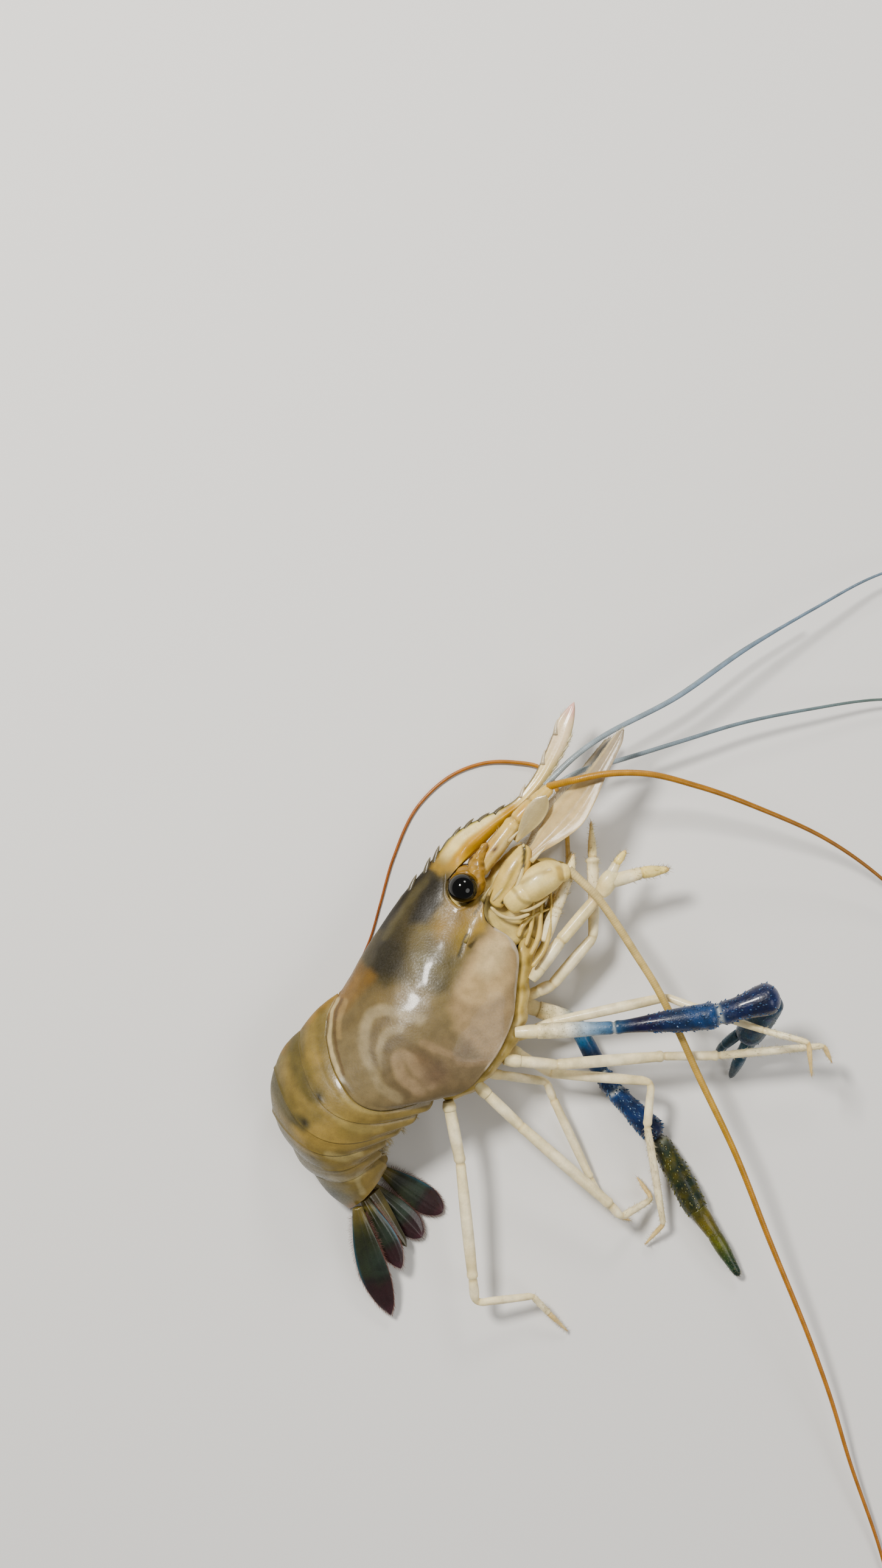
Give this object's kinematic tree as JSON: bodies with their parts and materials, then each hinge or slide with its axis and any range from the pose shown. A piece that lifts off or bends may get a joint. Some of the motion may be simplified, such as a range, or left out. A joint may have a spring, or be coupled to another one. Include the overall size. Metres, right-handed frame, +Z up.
{
  "type": "giant river prawn",
  "caption": "Life-size still model of a giant river prawn lying on its side: ridged shell, toothed beak, curled tail, long feelers and slender blue claws.",
  "frame": {"origin": "middle of the animal's outline seen from above, at the level of the floor it lies on", "axes": "+Z up; the prawn lies on its left flank, its head points towards +Y and a little +X, its legs towards +X"},
  "size_m": [0.1634, 0.2834, 0.0281],
  "materials": {
    "carapace": "wet olive shell with darker blotches",
    "rostrum": "wet cream and orange blade with dark edges",
    "abdomen": "wet khaki shell with darker bands",
    "tail_fan": "wet dark green to maroon plates",
    "thorax": "wet cream skin",
    "eye": "glossy black",
    "eyestalk": "wet tan",
    "mouthparts": "wet cream with fine bristles",
    "antenna_base": "wet cream and brown",
    "antenna_scale": "wet translucent cream",
    "antenna": "ringed orange brown",
    "antennule": "blue grey, wet",
    "leg": "wet translucent cream",
    "small_claw": "wet cream with bristles",
    "claw_arm": "wet deep blue, finely spined",
    "claw_palm": "wet blue green, finely spined"
  },
  "bodies": {
    "root": {"abdomen_1": "abdomen", "abdomen_2": "abdomen", "abdomen_3": "abdomen", "abdomen_4": "abdomen", "abdomen_5": "abdomen", "abdomen_6": "abdomen", "antenna_base_left": "antenna_base", "antenna_base_right": "antenna_base", "antenna_left": "antenna", "antenna_right": "antenna", "antenna_scale_left": "antenna_scale", "antenna_scale_right": "antenna_scale", "antennule_base_left": "antenna_base", "antennule_base_right": "antenna_base", "antennule_whip_left_inner": "antennule", "antennule_whip_left_outer": "antennule", "antennule_whip_right_inner": "antennule", "antennule_whip_right_outer": "antennule", "carapace": "carapace", "claw_left_arm": "claw_arm", "claw_left_finger": "claw_palm", "claw_left_hand": "claw_palm", "claw_right_arm": "claw_arm", "claw_right_finger": "claw_palm", "claw_right_hand": "claw_palm", "eye_left": "eye", "eye_right": "eye", "eyestalk_left": "eyestalk", "eyestalk_right": "eyestalk", "leg_1_left_arm": "small_claw", "leg_1_left_hand": "small_claw", "leg_1_right_arm": "small_claw", "leg_1_right_hand": "small_claw", "leg_3_left_lower": "leg", "leg_3_left_upper": "leg", "leg_3_right_lower": "leg", "leg_3_right_upper": "leg", "leg_4_left_lower": "leg", "leg_4_left_upper": "leg", "leg_4_right_lower": "leg", "leg_4_right_upper": "leg", "leg_5_left_lower": "leg", "leg_5_left_upper": "leg", "leg_5_right_lower": "leg", "leg_5_right_upper": "leg", "maxilliped_left": "mouthparts", "maxilliped_right": "mouthparts", "mouthparts": "mouthparts", "rostrum": "rostrum", "telson": "tail_fan", "thorax": "thorax", "uropod_left_inner": "tail_fan", "uropod_left_outer": "tail_fan", "uropod_right_inner": "tail_fan", "uropod_right_outer": "tail_fan"}
  },
  "joints": []
}
